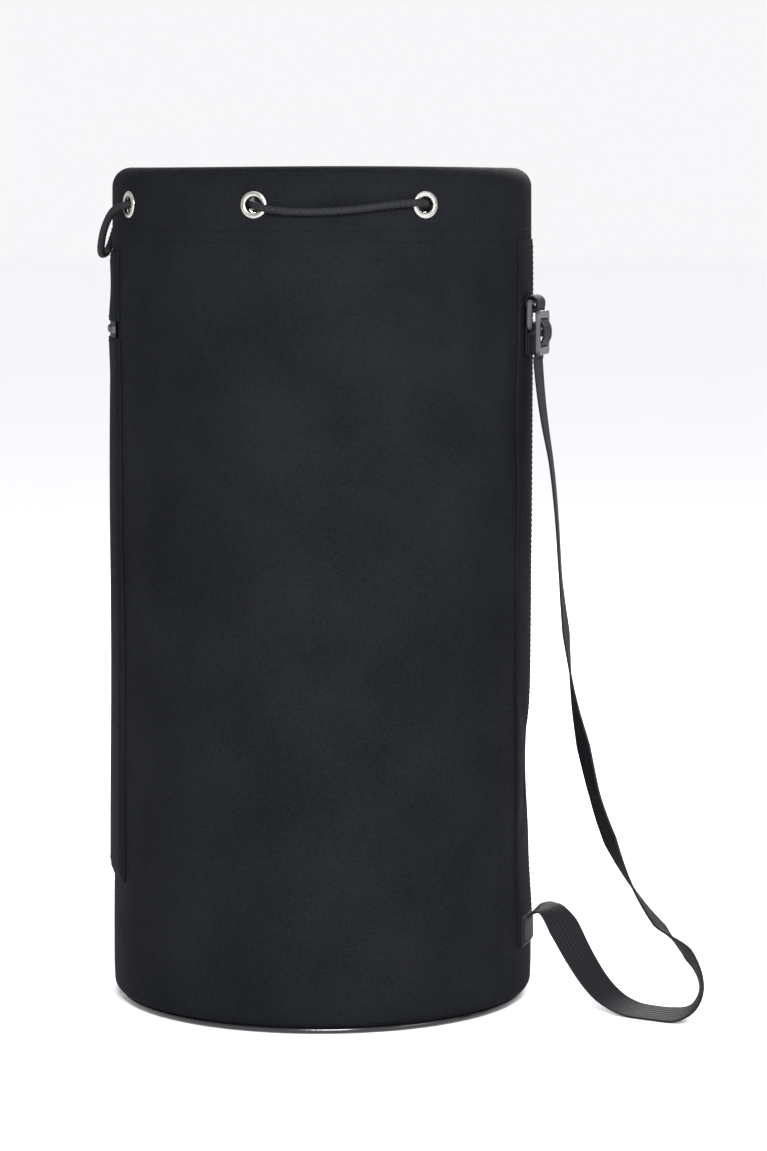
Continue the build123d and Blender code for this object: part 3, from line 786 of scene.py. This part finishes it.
# Nylon monofilament: smooth, half gloss, with a slight draw grain
nylon, shader = new_material("nylon_monofilament", Roughness=0.32)
draw = object_noise(nylon, 700.0)
tint(nylon, shader, draw.outputs["Fac"], "#1d1e20", "#303135")
tooth_start, tooth_end = pocket_start + 4.0, pocket_end - 4.0
tooth_count = int(math.radians(tooth_end - tooth_start) * bag_radius / coil_pitch)
coil_centre = bag_radius + 0.0028
zip_coils = (("zip_coil_lower_turns", -1, "zip_coil_lower"), ("zip_coil_upper_turns", 1, "zip_coil_upper"))
for name, side, node in zip_coils:
    vertices, faces = [], []
    for tooth in range(tooth_count):
        angle = tooth_start + (tooth_end - tooth_start) * (tooth + 0.5 + 0.25 * side) / tooth_count
        middle = around(angle, coil_centre, zip_height + side * 0.0009)
        along, out = around(angle + 90, 1.0, 0.0), around(angle, 1.0, 0.0)
        # Each turn stands across the zip, leaning a little along it
        turn = np.array([tuple(Vector((0, 0, 1.1))), tuple(out * 0.7 + along * 0.15), tuple(along)])
        start = len(vertices)
        vertices += list(turn_verts @ turn + np.array(tuple(middle)))
        faces += [tuple(start + corner for corner in face) for face in turn_faces]
    coil = mesh_piece(name, vertices, faces)
    finish_piece(coil, nylon, "zip_nylon", "bag", node)


def dress(names, material):
    """Gives CAD nodes a material."""
    for name in names:
        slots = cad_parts[name].material_slots
        if not slots:
            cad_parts[name].data.materials.append(material)
        for slot in slots:
            slot.material = material


# Black stove enamel on die-cast zinc: even and half glossy, a touch rougher where it is handled
enamel, shader = new_material("enamelled_zinc", Metallic=0.0, Coat_Weight=0.3, Coat_Roughness=0.2)
wear = object_noise(enamel, 260.0, Detail=5.0)
tint(enamel, shader, wear.outputs["Fac"], "#151517", "#2d2d30")
roughen(enamel, shader, wear.outputs["Fac"], 0.28, 0.5)
dress(["zip_slider", "zip_pull", "zip_stops"], enamel)

# ---------------------------------------------------------------------------------------------
# Strap side: a 44 mm reinforcing strip up the bag, the tab that holds the ring, the strap's
# doubled end through ring and adjuster, and the patch over its lower end.
strip_half = 8.27
strip_low, strip_high = 0.042, 0.553


def strip_place(u, v):
    height = strip_low + (strip_high - strip_low) * v
    sway = 0.5 * math.sin(11 * height) * (1 - u)
    edge = smooth_step(0.0, 0.0022, min(u, 1 - u) * 0.044)
    return on_cloth(strap_angle - strip_half + 2 * strip_half * u + sway, height, 0.0006 + 0.0009 * edge)


strip = curved_sheet("strap_strip_cloth", 24, 200, strip_place, (0.044, 0.511), 0.001)
finish_piece(strip, bag_cloth, "shell_cloth", "bag", "strap_backing_strip")


def patch_place(u, v):
    edge = smooth_step(0.0, 0.003, min(min(u, 1 - u) * 0.034, min(v, 1 - v) * 0.022))
    height = strip_low + 0.022 * v
    return on_cloth(strap_angle + 12.8 * (u - 0.5), height, 0.0016 + 0.0014 * edge)


patch = curved_sheet("strap_anchor_webbing", 26, 18, patch_place, (0.034, 0.022), 0.001)
finish_piece(patch, webbing_cloth, "webbing", "bag", "strap_anchor_patch")
strap_across = around(strap_angle + 90, 1.0, 0.0)
left_edge, right_edge = strap_angle - strip_half, strap_angle + strip_half
strip_rows = [
    upright_row(left_edge + 1.3, strip_low + 0.004, strip_high - 0.004, 0.0016),
    upright_row(right_edge - 1.3, strip_low + 0.004, strip_high - 0.004, 0.0016),
    level_row(left_edge + 1, right_edge - 1, strip_high - 0.004, 0.0016),
    level_row(strap_angle - 5.4, strap_angle + 5.4, strip_low + 0.003, 0.0031),
    level_row(strap_angle - 5.4, strap_angle + 5.4, strip_low + 0.0185, 0.0031),
    [(on_cloth(strap_angle - 5.4, 0.046, 0.0031), around(strap_angle, 1, 0)),
     (on_cloth(strap_angle + 5.4, 0.0595, 0.0031), around(strap_angle, 1, 0))],
    [(on_cloth(strap_angle + 5.4, 0.046, 0.0031), around(strap_angle, 1, 0)),
     (on_cloth(strap_angle - 5.4, 0.0595, 0.0031), around(strap_angle, 1, 0))],
]
stitches("strap_strip_stitching", strip_rows, "bag")

webbing = 0.0015
ring_radius = 0.1579
ring_hinge = 0.490
tab_reach = 0.00295
tab_line = [(ring_radius - tab_reach, ring_hinge - 0.0205), (ring_radius - tab_reach, ring_hinge)]
for step in range(1, 16):
    turn = math.radians(180 - 270 * step / 16)
    tab_line.append((ring_radius + tab_reach * math.cos(turn), ring_hinge + tab_reach * math.sin(turn)))
tab_line += [(ring_radius - 0.0014, ring_hinge - 0.005), (ring_radius - 0.0014, ring_hinge - 0.0205)]


def strap_ribbon(name, outline, width, node, body):
    """Webbing that lies square to the bag's side, along an outline of (radius, height)."""
    line, _ = evenly([around(strap_angle, radius, height) for radius, height in outline], 0.0012)
    piece = ribbon(name, line, [strap_across] * len(line), width, webbing, 30)
    finish_piece(piece, webbing_cloth, "webbing", body, node)
    return piece


strap_ribbon("ring_tab_webbing", tab_line, 0.0245, "strap_tab", "bag")
glide_back, glide_front, glide_middle = 0.16175, 0.16705, 0.486
ring_top = 0.5082
fold_points = [
    (glide_back, 0.4665),
    (glide_back, glide_middle - 0.0115),
    (glide_front + 0.0003, glide_middle - 0.006),
    (glide_front + 0.0012, glide_middle),
    (glide_front + 0.0003, glide_middle + 0.006),
    (glide_back, glide_middle + 0.0125),
    (glide_back + 0.0022, ring_top + 0.0005),
    (ring_radius + 0.0018, ring_top + 0.0045),
    (ring_radius - 0.0036, ring_top + 0.0035),
    (ring_radius - 0.0033, ring_top - 0.0045),
    (ring_radius + 0.0012, ring_top - 0.0075),
]
fold_line = spline_points("fold_line", [Vector((r, h, 0.0)) for r, h in fold_points], 10)
strap_ribbon("strap_doubled_end", [(p.x, p.y) for p in fold_line], strap_width, "strap_fold", "strap_head")

# Moulded acetal, mid grey: fine spark-eroded texture, soft shine on its rounded edges
acetal, shader = new_material("moulded_grey_acetal", Roughness=0.42, IOR=1.48)
spark = object_noise(acetal, 1100.0, Detail=3.0)
tint(acetal, shader, spark.outputs["Fac"], "#26272a", "#38393c")
texture = add_node(
    acetal, "ShaderNodeBump", {"Height": spark.outputs["Fac"], "Strength": 0.25, "Distance": 0.0001}
)
link(acetal, texture.outputs["Normal"], shader, "Normal")
dress(["rect_ring", "tri_glide"], acetal)

# ---------------------------------------------------------------------------------------------
# Eyelets and washers: brass, nickel plated and polished, closed over the cloth in a press.
nickel, shader = new_material("polished_nickel_plate", Metallic=1.0)
polish = object_noise(nickel, 180.0, Detail=6.0)
tint(nickel, shader, polish.outputs["Fac"], "#8a8883", "#c2bfba")
roughen(nickel, shader, polish.outputs["Fac"], 0.14, 0.34)
dress(["grommet_washers"], nickel)
# The flange is pressed into a dome that rolls over into the barrel: (radius, height) round it
eyelet_outline = [
    (0.0096, -0.0001), (0.0097, 0.0004), (0.0092, 0.0010), (0.0083, 0.0014), (0.0073, 0.0015),
    (0.0064, 0.0012), (0.0058, 0.0006), (0.0055, -0.0004), (0.0053, -0.0020), (0.0053, -0.0034),
    (0.0058, -0.0034), (0.0059, -0.0001),
]
eyelet_sides = 64
for number, angle in enumerate(eyelet_angles):
    out, along, up = around(angle, 1.0, 0.0), around(angle + 90, 1.0, 0.0), Vector((0, 0, 1))
    centre = around(angle, bag_radius, eyelet_height)
    vertices, faces = [], []
    for radius, rise in eyelet_outline:
        for side in range(eyelet_sides):
            turn = 2 * math.pi * side / eyelet_sides
            vertices.append(centre + out * rise + radius * (along * math.cos(turn) + up * math.sin(turn)))
    for ring in range(len(eyelet_outline)):
        for side in range(eyelet_sides):
            a, b = ring * eyelet_sides + side, ring * eyelet_sides + (side + 1) % eyelet_sides
            c, d = (v + eyelet_sides for v in (b, a))
            faces.append(tuple(v % (len(eyelet_outline) * eyelet_sides) for v in (a, b, c, d)))
    eyelet = mesh_piece(f"eyelet_{number + 1}", vertices, faces)
    finish_piece(eyelet, nickel, "nickel_plate", "bag")
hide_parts("grommet_eyelets")

# ---------------------------------------------------------------------------------------------
# Base: a sheet of glossy black vinyl with a round welted edge, and a stiffening board inside.
vinyl, shader = new_material("glossy_vinyl_sheet", Coat_Weight=0.2, Coat_Roughness=0.08)
scuff = object_noise(vinyl, 45.0, Detail=6.0)
tint(vinyl, shader, scuff.outputs["Fac"], "#08080a", "#131316")
roughen(vinyl, shader, scuff.outputs["Fac"], 0.12, 0.3)
dress(["base_panel", "base_piping"], vinyl)

# Closed-cell polyethylene board, cut from sheet: dull, faintly pebbled
board, shader = new_material("polyethylene_board", Roughness=0.7)
board_place = add_node(board, "ShaderNodeTexCoord")
pebble = add_node(board, "ShaderNodeTexVoronoi", {"Vector": board_place.outputs["Object"], "Scale": 420.0})
tint(board, shader, pebble.outputs["Distance"], "#18191b", "#2a2b2e")
dress(["base_board"], board)

# ---------------------------------------------------------------------------------------------
# Cord lock: a moulded black acetal barrel and button, with a spring of drawn steel wire.
black_acetal, shader = new_material("moulded_black_acetal", Roughness=0.38, IOR=1.48)
flow = object_noise(black_acetal, 600.0)
tint(black_acetal, shader, flow.outputs["Fac"], "#161719", "#26272a")
dress(["cord_lock_barrel", "cord_lock_plunger"], black_acetal)

wire, shader = new_material("drawn_spring_steel", Metallic=1.0)
drawn = object_noise(wire, 900.0)
tint(wire, shader, drawn.outputs["Fac"], "#8c8c8e", "#b4b4b6")
roughen(wire, shader, drawn.outputs["Fac"], 0.25, 0.45)
dress(["cord_lock_spring"], wire)

# ---------------------------------------------------------------------------------------------
# Studio: a pale seamless floor, a bright surround and four soft lights.
bpy.ops.object.select_all(action="DESELECT")
bpy.ops.mesh.primitive_plane_add(size=60.0, location=(0.0, 0.0, -0.0002))
floor = bpy.context.object
floor.name = "studio_floor"
paper, shader = new_material(
    "seamless_paper", Base_Color=linear("#fdfdff"), Roughness=0.9, Specular_IOR_Level=0.1
)
floor.data.materials.append(paper)
world = bpy.data.worlds.new("studio_surround")
world.use_nodes = True
bpy.context.scene.world = world
world.node_tree.nodes["Background"].inputs["Color"].default_value = linear("#f7f7f9")
world.node_tree.nodes["Background"].inputs["Strength"].default_value = 1.0
bpy.context.scene.view_settings.view_transform = "Standard"
soft_lights = [
    ("overhead_softbox", (0.2, -0.4, 2.6), (0.0, 0.0, 0.2), 2.4, 15.0),
    ("front_softbox", (0.25, -3.1, 1.5), (0.0, 0.0, 0.3), 1.2, 185.0),
    ("back_softbox", (0.5, 3.0, 1.7), (0.0, 0.0, 0.3), 1.6, 90.0),
    ("right_softbox", (2.2, -1.6, 1.3), (0.1, 0.0, 0.3), 0.9, 12.0),
]
for name, place, target, size, power in soft_lights:
    light_data = bpy.data.lights.new(name, "AREA")
    light_data.size = size
    light_data.energy = power
    light = bpy.data.objects.new(name, light_data)
    light.location = place
    light.rotation_euler = (Vector(target) - Vector(place)).to_track_quat("-Z", "Y").to_euler()
    bpy.context.scene.collection.objects.link(light)
